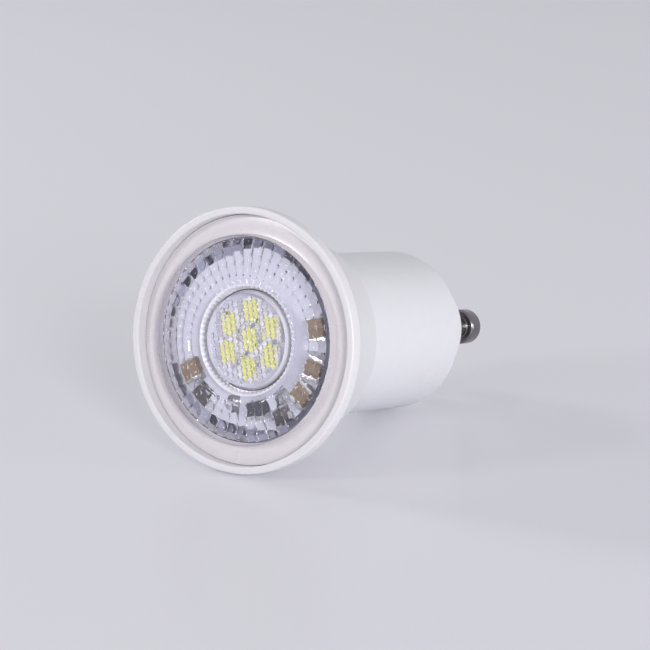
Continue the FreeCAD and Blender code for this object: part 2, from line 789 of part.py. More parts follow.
def make_coil():
    """Drum core standing on the driver board, and the copper winding between its flanges."""
    x = value(f"{DRIVER_WIDTH} / 2 - coil_inset")
    z = value(f"{BASE_FLOOR} - coil_from_end")
    face = value(DRIVER_FACE)
    flange = value("coil_flange")
    height = value("coil_height")
    out = FreeCAD.Vector(0, 1, 0)
    foot = FreeCAD.Vector(x, face, z)
    core = Part.makeCylinder(value("coil_post_radius"), height, foot, out)
    for level in (0, height - flange):
        core = core.fuse(Part.makeCylinder(value("coil_flange_radius"), flange, foot + out * level, out))
    inner = value("coil_post_radius + thin_gap")
    turns = foot + out * flange
    winding = Part.makeCylinder(value("coil_winding_radius"), height - 2 * flange, turns, out)
    winding = winding.cut(Part.makeCylinder(inner, height - 2 * flange, turns, out))
    return [shape_part("inductor_core", core), shape_part("inductor_winding", winding)]


def make_bridge():
    """Flat rectifier on the back of the driver board, with two short leads on each side."""
    top = "(-driver_back - bridge_height)"
    middle = f"({BASE_FLOOR} - bridge_from_end)"
    core = box("bridge_core", "bridge_length", "bridge_height - lead_thickness", "bridge_width",
               "-bridge_length / 2", top, f"{middle} - bridge_width / 2")
    leads = []
    for number, side in enumerate(("-", "+")):
        leads.append(box(f"bridge_lead_{number}", "lead_width * 2", "lead_thickness",
                         "bridge_width + 4 * lead_reach",
                         f"{side}bridge_length / 4 - lead_width", "-driver_back - lead_thickness",
                         f"{middle} - bridge_width / 2 - 2 * lead_reach"))
    return fuse("bridge_rectifier", [core] + leads)


def make_fuse_resistor():
    """Small round resistor across the board's end, with both leads turned down onto the board."""
    radius = value("fuse_radius")
    half = value("fuse_length") / 2
    board_y = value(DRIVER_FACE)
    y = board_y + value("thin_gap") + radius
    z = value(f"{BASE_FLOOR} - fuse_from_end")
    across = FreeCAD.Vector(1, 0, 0)
    barrel = Part.makeCylinder(radius, 2 * half, FreeCAD.Vector(-half, y, z), across)
    for side in (-1, 1):
        start = FreeCAD.Vector(side * half, y, z)
        run = across * (side * value("fuse_lead_run"))
        barrel = barrel.fuse(bent_lead(start, run, board_y, value("fuse_lead_radius")))
    return shape_part("fuse_resistor", barrel)


# Leads

def make_board_lead(label, angle_name):
    """Lead from the light board, down through the heat sink and onto the driver board's front end."""
    angle = math.radians(value(angle_name))
    ring = value(WIRE_RING)
    radius = value("wire_radius")
    x = ring * math.cos(angle)
    y = ring * math.sin(angle)
    lie_y = value(DRIVER_FACE) + radius + value("thin_gap")
    top = value("board_depth")
    lie_z = value(DRIVER_FRONT)
    points = [
        FreeCAD.Vector(x, y, top),
        FreeCAD.Vector(x, y, value(f"{SINK_BACK} + wire_drop")),
        FreeCAD.Vector(x, lie_y, lie_z),
        FreeCAD.Vector(x, lie_y, lie_z + value("wire_lie_length")),
    ]
    return shape_part(label, wire_shape(points, radius, value("wire_bend_radius")))


def make_pin_lead(number, side):
    """Lead from a contact pin's tail onto the driver board's rear end."""
    x = side * value("pin_spacing") / 2
    radius = value("wire_radius")
    lie_y = value(DRIVER_FACE) + radius + value("thin_gap")
    start = value(f"{BOSS_FLOOR} - pin_tail")
    bend = start - value("pin_wire_drop")
    lie = bend - value("pin_wire_slant")
    points = [
        FreeCAD.Vector(x, 0, start),
        FreeCAD.Vector(x, 0, bend),
        FreeCAD.Vector(x, lie_y, lie),
        FreeCAD.Vector(x, lie_y, lie - value("pin_wire_lie")),
    ]
    return shape_part(f"pin_wire_{number}", wire_shape(points, radius, value("pin_wire_bend")))


def make_solder_dome(number, angle_name):
    """Rounded bead of solder over a lead's end on the light board."""
    x, y = wire_spot(angle_name)
    dome = doc.addObject("Part::Cone", f"solder_cone_{number}")
    bind(dome, Radius1="solder_top_radius", Radius2="solder_radius", Height="solder_height")
    place(dome, x, y, "board_depth - solder_height")
    dome.Label = f"solder_joint_{number}"
    return dome


def make_parts():
    """Make every sub-part, in the order in which the lamp is put together."""
    parts = [make_front_housing(), make_base_shell(), make_lens()]
    parts += make_light_stack()
    parts += make_light_chips()
    parts += make_board_parts()
    parts += make_contact_pins()
    parts += [make_driver_board(), make_storage_capacitor()]
    parts += make_coil()
    parts += [make_bridge(), make_fuse_resistor()]
    leads = (("red_wire", "red_wire_angle"), ("black_wire", "black_wire_angle"))
    for number, (label, angle_name) in enumerate(leads, start=1):
        parts.append(make_board_lead(label, angle_name))
        parts.append(make_solder_dome(number, angle_name))
    for number, side in enumerate((-1, 1), start=1):
        parts.append(make_pin_lead(number, side))
    return parts


def check(parts):
    """Stop when anything in the document failed or a sub-part has no sound shape."""
    for thing in doc.Objects:
        if "Invalid" in thing.State or "Error" in thing.State:
            raise RuntimeError(f"{thing.Name} failed: {thing.State}")
    for part in parts:
        if part.Shape.isNull() or not part.Shape.isValid():
            raise RuntimeError(f"{part.Label} has no sound shape")


def main():
    """Build the lamp and write each sub-part to its own file."""
    parts = make_parts()
    doc.recompute()
    check(parts)
    os.makedirs("parts", exist_ok=True)
    for part in parts:
        part.Shape.exportStep(f"parts/{part.Label}.step")
        print(part.Label, round(part.Shape.Volume, 2), len(part.Shape.Solids), len(part.Shape.Faces))


main()
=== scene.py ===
"""Looks of a clear-faced spotlight bulb that lies on a pale table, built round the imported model.

Sizes in the classes are in millimetres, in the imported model's own frame: the bulb's front rim lies in the
plane of height 0 and the contact pins point along +Z. Meshes are written in metres, and so are the reaches
of the finishes and of the camera.
"""
import logging
import math
from dataclasses import dataclass, field, replace
from enum import Enum
from functools import cache
from typing import Sequence

import bmesh
import bpy
import numpy as np
from mathutils import Matrix, Vector


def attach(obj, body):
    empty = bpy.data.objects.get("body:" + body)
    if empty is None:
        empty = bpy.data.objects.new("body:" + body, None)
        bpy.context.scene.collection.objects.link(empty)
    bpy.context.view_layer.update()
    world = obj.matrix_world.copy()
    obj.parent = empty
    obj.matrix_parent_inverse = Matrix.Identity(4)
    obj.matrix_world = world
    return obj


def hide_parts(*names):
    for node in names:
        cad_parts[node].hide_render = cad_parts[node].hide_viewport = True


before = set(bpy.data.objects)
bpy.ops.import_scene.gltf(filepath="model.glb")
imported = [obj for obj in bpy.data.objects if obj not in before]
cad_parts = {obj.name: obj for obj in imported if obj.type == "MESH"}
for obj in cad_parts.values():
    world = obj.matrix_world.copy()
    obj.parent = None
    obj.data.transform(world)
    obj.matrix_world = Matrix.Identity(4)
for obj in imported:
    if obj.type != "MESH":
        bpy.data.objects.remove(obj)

LOG = logging.getLogger("spotlight_bulb")
MM = 0.001
BODY = "root"
CREASE = 28.0  # Edges that turn by more degrees than this are drawn sharp.
BOARD_FACE = 3.6  # Height of the light board's face, which the chips and small parts stand on.

Colour = tuple[float, float, float]
Point = tuple[float, float]
Triple = tuple[float, float, float]
Feeds = dict[str | int, object]
Socket = bpy.types.NodeSocket
Material = bpy.types.Material
Piece = bpy.types.Object


# Outlines and meshes

def rounded(corners: Sequence[Point], radii: dict[int, float], steps: int = 6) -> list[Point]:
    """Round some corners of a closed outline.

    Args:
        corners: the outline's corners in order.
        radii: the rounding of each corner that has one, by its place in the row.
        steps: how many stretches each rounding is drawn with.

    Returns:
        The outline with every rounded corner drawn as an arc.
    """
    drawn: list[Point] = []
    count = len(corners)
    for index, corner in enumerate(corners):
        if index not in radii:
            drawn.append(corner)
            continue
        here = Vector(corner)
        before = (Vector(corners[index - 1]) - here).normalized()
        after = (Vector(corners[(index + 1) % count]) - here).normalized()
        half = before.angle(after) / 2
        radius = radii[index]
        centre = here + (before + after).normalized() * (radius / math.sin(half))
        first = here + before * (radius / math.tan(half)) - centre
        last = here + after * (radius / math.tan(half)) - centre
        for step in range(steps + 1):
            share = step / steps
            arm = first.lerp(last, share).normalized() * radius
            drawn.append((centre.x + arm.x, centre.y + arm.y))
    return drawn


def bowed(start: Point, end: Point, radius: float, steps: int) -> list[Point]:
    """Draw the arc between two points whose centre lies on the left of the way there.

    Args:
        start: the first point.
        end: the last point.
        radius: the arc's radius.
        steps: how many stretches it is drawn with.

    Returns:
        The points between start and end, without these two.
    """
    first, last = Vector(start), Vector(end)
    chord = last - first
    left = Vector((-chord.y, chord.x)).normalized()
    centre = (first + last) / 2 + left * math.sqrt(radius ** 2 - (chord.length / 2) ** 2)
    points = []
    for step in range(1, steps):
        arm = first.lerp(last, step / steps) - centre
        place = centre + arm.normalized() * radius
        points.append((place.x, place.y))
    return points


def rounded_rectangle(width: float, length: float, corner: float, per_corner: int = 5) -> np.ndarray:
    """Draw a rectangle with round corners about the origin.

    Args:
        width: its size along X.
        length: its size along Y.
        corner: the radius of its corners.
        per_corner: how many stretches each corner is drawn with.

    Returns:
        Its points in order, one row each.
    """
    points = []
    for quarter, (side_x, side_y) in enumerate(((1, 1), (-1, 1), (-1, -1), (1, -1))):
        for step in range(per_corner + 1):
            turn = (quarter + step / per_corner) * math.pi / 2
            points.append((side_x * (width / 2 - corner) + corner * math.cos(turn),
                           side_y * (length / 2 - corner) + corner * math.sin(turn)))
    return np.array(points)


def turned(profile: Sequence[Point], segments: int, centre: Point = (0.0, 0.0)) -> np.ndarray:
    """Turn a profile of radius and height about an upright axis.

    Args:
        profile: pairs of radius and height.
        segments: how many stretches one turn has.
        centre: where the axis stands.

    Returns:
        One ring of points for each point of the profile.
    """
    angles = np.arange(segments) * (math.tau / segments)
    radius = np.array([point[0] for point in profile])[:, None]
    height = np.array([point[1] for point in profile])[:, None]
    x = centre[0] + radius * np.cos(angles)
    y = centre[1] + radius * np.sin(angles)
    return np.stack([x, y, np.broadcast_to(height, x.shape)], axis=-1)


@dataclass
class Skin:
    """Surface stretched over rings of points, with the place of its finish in the piece's list."""

    rings: np.ndarray
    looped: bool = False
    finish: int = 0

    def vertices(self) -> np.ndarray:
        """List the points; an open skin's first and last rings shrink to one point each.

        Returns:
            One row for each point.
        """
        if self.looped:
            return self.rings.reshape(-1, 3)
        inner = self.rings[1:-1].reshape(-1, 3)
        ends = np.stack([self.rings[0].mean(axis=0), self.rings[-1].mean(axis=0)])
        return np.concatenate([inner, ends])

    def faces(self) -> list[Sequence[int]]:
        """Give the faces between the rings, with a fan at each closed end.

        Returns:
            Each face as the places of its points.
        """
        segments = self.rings.shape[1]
        count = self.rings.shape[0] if self.looped else self.rings.shape[0] - 2
        across = np.arange(segments)
        following = (across + 1) % segments
        faces: list[Sequence[int]] = []
        for row in range(count if self.looped else count - 1):
            low, high = row * segments, (row + 1) % count * segments
            block = np.stack([low + across, low + following, high + following, high + across], axis=1)
            faces += block.tolist()
        if not self.looped:
            first_point, last_row = count * segments, (count - 1) * segments
            for index, after in zip(across.tolist(), following.tolist()):
                faces.append((first_point, after, index))
                faces.append((first_point + 1, last_row + index, last_row + after))
        return faces


def swung(skin: Skin, angle: float, ring: float, along: float = 0.0) -> Skin:
    """Set a skin on a ring round the bulb's axis.

    Args:
        skin: the skin, about the origin.
        angle: its place on the ring in degrees.
        ring: the ring's radius.
        along: how far along the ring it is shifted first.

    Returns:
        The moved skin.
    """
    x, y, z = np.moveaxis(skin.rings + np.array([ring, along, 0.0]), -1, 0)
    cosine, sine = math.cos(math.radians(angle)), math.sin(math.radians(angle))
    return replace(skin, rings=np.stack([x * cosine - y * sine, x * sine + y * cosine, z], axis=-1))


def stacked(width: float, length: float, levels: Sequence[Triple], centre: Point = (0.0, 0.0)) -> Skin:
    """Stack round-cornered outlines into one closed skin.

    Args:
        width: the size along X of an outline without inset.
        length: its size along Y.
        levels: height, inset and corner radius of each outline, in order.
        centre: the point that they stand over.

    Returns:
        The skin.
    """
    rings = []
    for height, inset, corner in levels:
        outline = rounded_rectangle(width - 2 * inset, length - 2 * inset, corner) + np.array(centre)
        rings.append(np.column_stack([outline, np.full(len(outline), height)]))
    return Skin(np.stack([rings[0], *rings, rings[-1]]))


def soft_block(width: float, length: float, low: float, high: float, edge: float, steps: int = 3) -> Skin:
    """Make a closed block about the origin with rounded corners and upper edges.

    Args:
        width: its size along X.
        length: its size along Y.
        low: the height of its foot.
        high: the height of its top, which may lie below the foot.
        edge: how round its edges are.
        steps: how many stretches each upper edge is drawn with.

    Returns:
        The block's skin.
    """
    way = 1.0 if high > low else -1.0
    levels = [(low, 0.0, edge)]
    for step in range(steps + 1):
        turn = step / steps * math.pi / 2
        levels.append((high - way * edge * (1 - math.sin(turn)), edge * (1 - math.cos(turn)), edge))
    return stacked(width, length, levels)


# Surface effects that several finishes share

class Effect(Enum):
    """Which kind of fine surface a finish has."""

    MOULDED = "moulded_skin"
    BRUSHED = "brushed_skin"
    GRAINY = "grainy_skin"
    WOUND = "wound_skin"
    # Sharp patches of painted reflection on painted dark shade, for the heat sink.
    PAINTED_REFLECTIONS = "painted_reflection_skin"


class NodeBench:
    """Adds nodes to a tree, side by side, and joins them."""

    SPACING = 220

    def __init__(self, tree: bpy.types.NodeTree) -> None:
        """Start with an empty row on the given tree.

        Args:
            tree: the tree, which is emptied.
        """
        tree.nodes.clear()
        self.tree = tree
        self.count = 0

    def add(self, kind: str, feeds: Feeds | None = None, **settings: object) -> bpy.types.Node:
        """Add one node.

        Args:
            kind: the node's type name.
            feeds: what its inputs get, each a socket or a plain value.
            settings: its attributes.

        Returns:
            The node.
        """
        node = self.tree.nodes.new(kind)
        node.location = (self.SPACING * self.count, 0)
        self.count += 1
        for name, value in settings.items():
            setattr(node, name, value)
        for place, value in (feeds or {}).items():
            if isinstance(value, Socket):
                self.tree.links.new(value, node.inputs[place])
            else:
                node.inputs[place].default_value = value
        return node

    def blend(self, share: object, first: object, second: object) -> Socket:
        """Mix two colours, each a socket or a colour, by the second's share."""
        return self.add("ShaderNodeMix", {0: share, 6: first, 7: second}, data_type="RGBA").outputs[2]

    def mix(self, share: object, first: object, second: object) -> Socket:
        """Mix two shaders by the second's share."""
        return self.add("ShaderNodeMixShader", {0: share, 1: first, 2: second}).outputs[0]

    def reckon(self, operation: str, first: object, second: object) -> Socket:
        """Work out a number from two others, each a socket or a number."""
        return self.add("ShaderNodeMath", {0: first, 1: second}, operation=operation).outputs[0]

    def stretch(self, value: Socket, low: float, high: float) -> Socket:
        """Spread the part of a value between low and high over 0 to 1."""
        feeds = {"Value": value, "From Min": low, "From Max": high}
        return self.add("ShaderNodeMapRange", feeds).outputs["Result"]

    def noise(self, place: Socket, scale: object, detail: float) -> Socket:
        """Add a noise of the given scale and count of octaves."""
        feeds = {"Vector": place, "Scale": scale, "Detail": detail}
        return self.add("ShaderNodeTexNoise", feeds).outputs["Fac"]


def blank_material(name: str) -> tuple[Material, NodeBench]:
    """Make a material without nodes.

    Args:
        name: its name.

    Returns:
        The material and a bench on its tree.
    """
    material = bpy.data.materials.new(name)
    material.use_nodes = True
    return material, NodeBench(material.node_tree)


class SurfaceLibrary:
    """The shared effects, each built once as a group of nodes."""

    INPUTS = {"Colour": "NodeSocketColor", "Shade": "NodeSocketColor", "Scale": "NodeSocketFloat",
              "Mottle": "NodeSocketFloat", "Roughness": "NodeSocketFloat", "Spread": "NodeSocketFloat",
              "Wear": "NodeSocketFloat"}
    OUTPUTS = {"Colour": "NodeSocketColor", "Roughness": "NodeSocketFloat", "Height": "NodeSocketFloat"}
    BROAD_SHARE = 0.12
    BROAD_DETAIL = 3.0
    FINE_DETAIL = 4.0
    # Where the noise turns from painted shade to painted reflection patches.
    REFLECTION_PATCH_BAND = (0.43, 0.51)
    EDGE_BAND = (0.52, 0.62)
    BRUSH_STRETCH = (1.0, 1.0, 0.06)
    WINDING_WAVER = 0.4

    @cache
    def group(self, effect: Effect) -> bpy.types.NodeTree:
        """Give an effect's group, built on first use.

        Args:
            effect: which one.

        Returns:
            The group of nodes.
        """
        tree = bpy.data.node_groups.new(effect.value, "ShaderNodeTree")
        for way, sockets in (("INPUT", self.INPUTS), ("OUTPUT", self.OUTPUTS)):
            for name, kind in sockets.items():
                tree.interface.new_socket(name=name, in_out=way, socket_type=kind)
        bench = NodeBench(tree)
        given = bench.add("NodeGroupInput").outputs
        place = bench.add("ShaderNodeTexCoord").outputs["Object"]
        coarse = bench.reckon("MULTIPLY", given["Scale"], self.BROAD_SHARE)
        broad = bench.noise(place, coarse, self.BROAD_DETAIL)
        # Painted reflections: the broad noise is stretched into sharp light patches.
        if effect is Effect.PAINTED_REFLECTIONS:
            broad = bench.stretch(broad, *self.REFLECTION_PATCH_BAND)
        mottle = bench.reckon("MULTIPLY", broad, given["Mottle"])
        colour = bench.blend(mottle, given["Colour"], given["Shade"])
        edge = bench.stretch(bench.add("ShaderNodeNewGeometry").outputs["Pointiness"], *self.EDGE_BAND)
        rubbed = bench.reckon("MULTIPLY", bench.reckon("MULTIPLY", edge, broad), given["Wear"])
        change = bench.reckon("MULTIPLY", bench.reckon("SUBTRACT", broad, 0.5), given["Spread"])
        bench.add("NodeGroupOutput", {
            "Colour": bench.blend(rubbed, colour, given["Shade"]),
            "Roughness": bench.reckon("ADD", given["Roughness"], change),
            "Height": self.fine_pattern(bench, effect, place, given["Scale"])})
        return tree

    def fine_pattern(self, bench: NodeBench, effect: Effect, place: Socket, scale: Socket) -> Socket:
        """Add the pattern that sets one effect apart.

        Args:
            bench: the tree's bench.
            effect: which effect.
            place: the coordinates.
            scale: the pattern's scale.

        Returns:
            The pattern as a height.
        """
        feeds = {"Vector": place, "Scale": scale}
        if effect is Effect.GRAINY:
            return bench.add("ShaderNodeTexVoronoi", feeds).outputs["Distance"]
        if effect is Effect.WOUND:
            feeds["Distortion"] = self.WINDING_WAVER
            bands = bench.add("ShaderNodeTexWave", feeds, bands_direction="Y", wave_profile="SIN")
            return bands.outputs["Fac"]
        if effect is Effect.BRUSHED:
            feeds["Scale"] = self.BRUSH_STRETCH
            place = bench.add("ShaderNodeMapping", feeds).outputs["Vector"]
        return bench.noise(place, scale, self.FINE_DETAIL)


SURFACES = SurfaceLibrary()


@dataclass(frozen=True)
class Finish:
    """One finish: plain values of its shader and how its surface varies.
    """

    name: str
    colour: Colour
    shade: Colour
    roughness: float
    effect: Effect = Effect.MOULDED
    spread: float = 0.12
    scale: float = 6000.0
    mottle: float = 0.35
    wear: float = 0.3
    bump: float = 0.12
    bump_reach: float = 0.00004
    metallic: float = 0.0
    coat: float = 0.0
    sheen_through: float = 0.0
    sheen_reach: float = 0.0012

    @cache
    def material(self) -> Material:
        """Give the material, made on first use.

        Returns:
            The material.
        """
        material, bench = blank_material(self.name + "_finish")
        values = {"Colour": (*self.colour, 1.0), "Shade": (*self.shade, 1.0), "Scale": self.scale,
                  "Mottle": self.mottle, "Roughness": self.roughness, "Spread": self.spread,
                  "Wear": self.wear}
        skin = bench.add("ShaderNodeGroup", values, node_tree=SURFACES.group(self.effect)).outputs
        bump = bench.add("ShaderNodeBump", {
            "Strength": self.bump, "Distance": self.bump_reach, "Height": skin["Height"]})
        shader = bench.add("ShaderNodeBsdfPrincipled", {
            "Base Color": skin["Colour"], "Roughness": skin["Roughness"], "Normal": bump.outputs["Normal"],
            "Metallic": self.metallic, "Coat Weight": self.coat, "Subsurface Weight": self.sheen_through,
            "Subsurface Scale": self.sheen_reach})
        bench.add("ShaderNodeOutputMaterial", {"Surface": self.surface(bench, shader)})
        return material

    def surface(self, bench: NodeBench, shader: bpy.types.Node) -> Socket:
        """Give what the material shows: the shader as it is."""
        return shader.outputs[0]


@dataclass(frozen=True)
class ClearFinish(Finish):
    """Clear moulded plastic; light on its way to what lies behind passes straight through."""

    index: float = 1.49

    def surface(self, bench: NodeBench, shader: bpy.types.Node) -> Socket:
        """Make the shader clear and let shadow and diffuse rays through.

        Args:
            bench: the material's bench.
            shader: its shader.

        Returns:
            What the material shows.
        """
        shader.inputs["Transmission Weight"].default_value = 1.0
        shader.inputs["IOR"].default_value = self.index
        clear = bench.add("ShaderNodeBsdfTransparent", {"Color": (*self.colour, 1.0)})
        way = bench.add("ShaderNodeLightPath").outputs
        through = bench.reckon("MAXIMUM", way["Is Shadow Ray"], way["Is Diffuse Ray"])
        return bench.mix(through, shader.outputs[0], clear.outputs[0])


HOUSING = Finish("housing_white", (0.76, 0.75, 0.785), (0.68, 0.665, 0.70), 0.34, sheen_through=0.15)
BASE = Finish("base_white", (0.76, 0.76, 0.80), (0.69, 0.69, 0.73), 0.36, sheen_through=0.15)
LENS = ClearFinish("lens_clear", (0.97, 0.965, 0.995), (0.93, 0.93, 0.98), 0.02, spread=0.02,
                   bump=0.02, scale=2500.0)
LENS_RIM = Finish("lens_rim", (0.73, 0.695, 0.73), (0.66, 0.62, 0.65), 0.28, spread=0.1,
                  mottle=0.5, scale=2500.0, coat=0.3)
# The clear lens foot drawn opaque and bright white: painted sheen that stands in for the reflections and
# glints in its flutes.
LENS_FOOT_SHEEN = Finish("lens_foot_sheen", (0.95, 0.94, 0.98), (0.88, 0.87, 0.92), 0.12, coat=1.0)
BOARD = Finish("board_white", (0.74, 0.745, 0.82), (0.64, 0.64, 0.71), 0.4, Effect.GRAINY, scale=9000.0)
CHIP_FRAME = Finish("chip_frame", (0.86, 0.85, 0.84), (0.74, 0.73, 0.70), 0.42, scale=12000.0)
PHOSPHOR = Finish("phosphor_yellow", (0.84, 0.85, 0.26), (0.82, 0.79, 0.20), 0.3,
                  Effect.GRAINY, scale=20000.0, bump=0.2)
CHIP_BLACK = Finish("chip_black", (0.040, 0.042, 0.062), (0.025, 0.027, 0.04), 0.55,
                    Effect.GRAINY, scale=16000.0)
TAN = Finish("ceramic_tan", (0.25, 0.18, 0.11), (0.26, 0.14, 0.07), 0.45, Effect.GRAINY, scale=14000.0)
RESISTOR = Finish("resistor_dark", (0.07, 0.062, 0.062), (0.04, 0.036, 0.036), 0.35, scale=9000.0)
TINNED = Finish("tinned_end", (0.62, 0.61, 0.60), (0.42, 0.41, 0.40), 0.28, scale=9000.0, metallic=1.0)
NICKEL = Finish("pin_nickel", (0.25, 0.235, 0.245), (0.15, 0.14, 0.14), 0.2,
                Effect.BRUSHED, scale=5000.0, metallic=1.0, bump=0.2)
# Heat sink: near-black painted shade of the deep gap round the light board, with lighter patches that are
# painted reflections in its metal.
SINK_PAINTED_SHADE = Finish("sink_painted_shade", (0.010, 0.012, 0.040), (0.58, 0.59, 0.74), 0.6,
                  Effect.PAINTED_REFLECTIONS, scale=3300.0, mottle=0.9)
THERMAL = Finish("thermal_grey", (0.30, 0.31, 0.33), (0.22, 0.23, 0.25), 0.7, Effect.GRAINY)
CIRCUIT = Finish("circuit_green", (0.03, 0.16, 0.07), (0.02, 0.10, 0.05), 0.35, Effect.GRAINY, scale=9000.0)
CAN = Finish("can_dark", (0.03, 0.03, 0.05), (0.06, 0.06, 0.08), 0.35)
CORE = Finish("core_grey", (0.07, 0.07, 0.075), (0.12, 0.12, 0.12), 0.6, Effect.GRAINY)
COPPER = Finish("copper", (0.72, 0.30, 0.15), (0.50, 0.18, 0.08), 0.25, Effect.WOUND,
                scale=1400.0, metallic=1.0, bump=0.8, bump_reach=0.0001)
RESISTOR_BLUE = Finish("resistor_blue", (0.13, 0.28, 0.42), (0.08, 0.2, 0.32), 0.35)
WIRE_RED = Finish("wire_red", (0.50, 0.03, 0.03), (0.38, 0.02, 0.02), 0.4)
WIRE_BLACK = Finish("wire_black", (0.02, 0.02, 0.02), (0.05, 0.05, 0.05), 0.4)
WIRE_WHITE = Finish("wire_white", (0.75, 0.74, 0.72), (0.62, 0.61, 0.59), 0.4)
SOLDER = Finish("solder", (0.60, 0.60, 0.61), (0.40, 0.40, 0.41), 0.25, Effect.GRAINY,
                scale=7000.0, metallic=1.0)


# Pieces

def make_piece(name: str, skins: Sequence[Skin], finishes: Sequence[Finish] = (), nodes: Sequence[str] = (),
               crease: float = CREASE) -> Piece:
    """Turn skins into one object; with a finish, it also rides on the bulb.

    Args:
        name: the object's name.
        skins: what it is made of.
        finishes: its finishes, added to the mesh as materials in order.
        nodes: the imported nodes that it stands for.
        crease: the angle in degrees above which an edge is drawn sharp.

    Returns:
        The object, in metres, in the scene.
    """
    vertices: list[np.ndarray] = []
    faces: list[tuple[int, ...]] = []
    zones: list[int] = []
    offset = 0
    for skin in skins:
        points = skin.vertices()
        added = [tuple(offset + index for index in face) for face in skin.faces()]
        vertices.append(points)
        faces += added
        zones += [skin.finish] * len(added)
        offset += len(points)
    mesh = bpy.data.meshes.new(name)
    mesh.from_pydata((np.concatenate(vertices) * MM).tolist(), [], faces)
    mesh.polygons.foreach_set("material_index", zones)
    for finish in finishes:
        mesh.materials.append(finish.material())
    tidy = bmesh.new()
    tidy.from_mesh(mesh)
    bmesh.ops.recalc_face_normals(tidy, faces=tidy.faces)
    tidy.to_mesh(mesh)
    tidy.free()
    mesh.shade_smooth()
    mesh.set_sharp_from_angle(angle=math.radians(crease))
    piece = bpy.data.objects.new(name, mesh)
    bpy.context.scene.collection.objects.link(piece)
    if finishes:
        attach(piece, BODY)
    if nodes:
        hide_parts(*nodes)
    return piece


# Housing

@dataclass
class FrontHousing:
    """Rim band, ledge for the lens and flared cup."""

    rim_radius: float = 17.5
    rim_bore: float = 16.5
    rim_height: float = 1.8
    step: float = 0.25
    ledge: float = 2.4
    ledge_bore: float = 14.7
    cup_length: float = 12.5
    cup_floor: float = 11.2
    cup_back: float = 13.3
    cup_bore: float = 12.3
    base_hole: float = 11.25
    flare: float = 64.0
    flare_steps: int = 16
    segments: int = 288

    def profile(self) -> list[Point]:
        """Give the cup's closed section.

        Returns:
            Pairs of radius and height.
        """
        back = (self.cup_back, self.cup_length)
        neck = (self.rim_radius - self.step, self.rim_height)
        corners = [(self.rim_bore, 0.0), (self.rim_bore, self.ledge), (self.ledge_bore, self.ledge),
                   (self.cup_bore, self.cup_floor), (self.base_hole, self.cup_floor),
                   (self.base_hole, self.cup_length), back, *bowed(back, neck, self.flare, self.flare_steps),
                   neck, (self.rim_radius, self.rim_height), (self.rim_radius, 0.0)]
        last = len(corners) - 1
        rounding = {0: 0.22, 1: 0.1, 2: 0.12, 3: 0.3, 4: 0.12, 5: 0.12, 6: 0.45,
                    last - 2: 0.12, last - 1: 0.1, last: 0.24}
        return rounded(corners, rounding)

    def build(self) -> list[Piece]:
        """Build and dress the cup.

        Returns:
            The piece.
        """
        skin = Skin(turned(self.profile(), self.segments), looped=True)
        return [make_piece("front_housing_shell", [skin], [HOUSING], ["front_housing"])]


@dataclass
class BaseShell:
    """Cylinder, end wall and the boss that carries the contact pins."""

    radius: float = 11.1
    bore: float = 9.9
    front: float = 5.9
    flange_front: float = 9.9
    flange_radius: float = 12.0
    flange_back: float = 11.2
    end: float = 38.1
    floor: float = 36.6
    boss_radius: float = 7.9
    boss_bore: float = 7.0
    boss_end: float = 44.3
    boss_floor: float = 42.8
    pin_place: float = 5.0
    hole: float = 1.6
    hole_segments: int = 48
    rail_width: float = 0.8
    rail_reach: float = 1.5
    rail_front: float = 15.0
    board_faces: Point = (-1.8, -3.0)
    rail_gap: float = 0.15
    rail_edge: float = 0.1
    segments: int = 288

    def profile(self) -> list[Point]:
        """Give the base's closed section outside the boss's end disc.

        Returns:
            Pairs of radius and height.
        """
        corners = [(self.bore, self.front), (self.radius, self.front), (self.radius, self.flange_front),
                   (self.flange_radius, self.flange_front), (self.flange_radius, self.flange_back),
                   (self.radius, self.flange_back), (self.radius, self.end), (self.boss_radius, self.end),
                   (self.boss_radius, self.boss_end), (0.0, self.boss_end), (0.0, self.boss_floor),
                   (self.boss_bore, self.boss_floor), (self.boss_bore, self.floor), (self.bore, self.floor)]
        drawn = rounded(corners, {3: 0.15, 4: 0.15, 5: 0.12, 6: 0.3, 7: 0.2, 8: 0.3, 11: 0.2, 13: 0.2})
        start = drawn.index((0.0, self.boss_floor))
        return drawn[start:] + drawn[:start]

    def rails(self) -> list[Skin]:
        """Make the four rails that hold the driver board's edges.

        Returns:
            Their skins.
        """
        skins = []
        face, back = self.board_faces
        for side in (-1, 1):
            for low in (face + self.rail_gap, back - self.rail_gap - self.rail_width):
                block = soft_block(self.rail_reach, self.rail_width, self.floor, self.rail_front,
                                   self.rail_edge)
                middle = side * (self.bore - self.rail_reach / 2)
                skins.append(Skin(block.rings + np.array([middle, low + self.rail_width / 2, 0.0])))
        return skins

    def build(self) -> list[Piece]:
        """Build and dress the base, with a hole for each pin.

        Returns:
            The base and its rails.
        """
        skin = Skin(turned(self.profile(), self.segments))
        piece = make_piece("base_shell_body", [skin], [BASE], ["base_shell"])
        low, high = self.boss_floor - 1, self.boss_end + 1
        profile = [(0.0, low), (self.hole, low), (self.hole, high), (0.0, high)]
        for side in (-1, 1):
            drill = Skin(turned(profile, self.hole_segments, (side * self.pin_place, 0.0)))
            cut_away(piece, make_piece(f"pin_hole_{side}", [drill]))
        return [piece, make_piece("driver_rails", self.rails(), [BASE])]


def cut_away(piece: Piece, cutter: Piece) -> None:
    """Cut one object out of another and drop the cutter.

    Args:
        piece: what is cut.
        cutter: the shape that is taken away.
    """
    modifier = piece.modifiers.new("cut", "BOOLEAN")
    modifier.operation = "DIFFERENCE"
    modifier.solver = "EXACT"
    modifier.object = cutter
    bpy.context.view_layer.update()
    cut = bpy.data.meshes.new_from_object(piece.evaluated_get(bpy.context.evaluated_depsgraph_get()))
    piece.modifiers.clear()
    cut.name = piece.name
    piece.data = cut
    cut.shade_smooth()
    cut.set_sharp_from_angle(angle=math.radians(CREASE))
    bpy.data.objects.remove(cutter)


# Lens

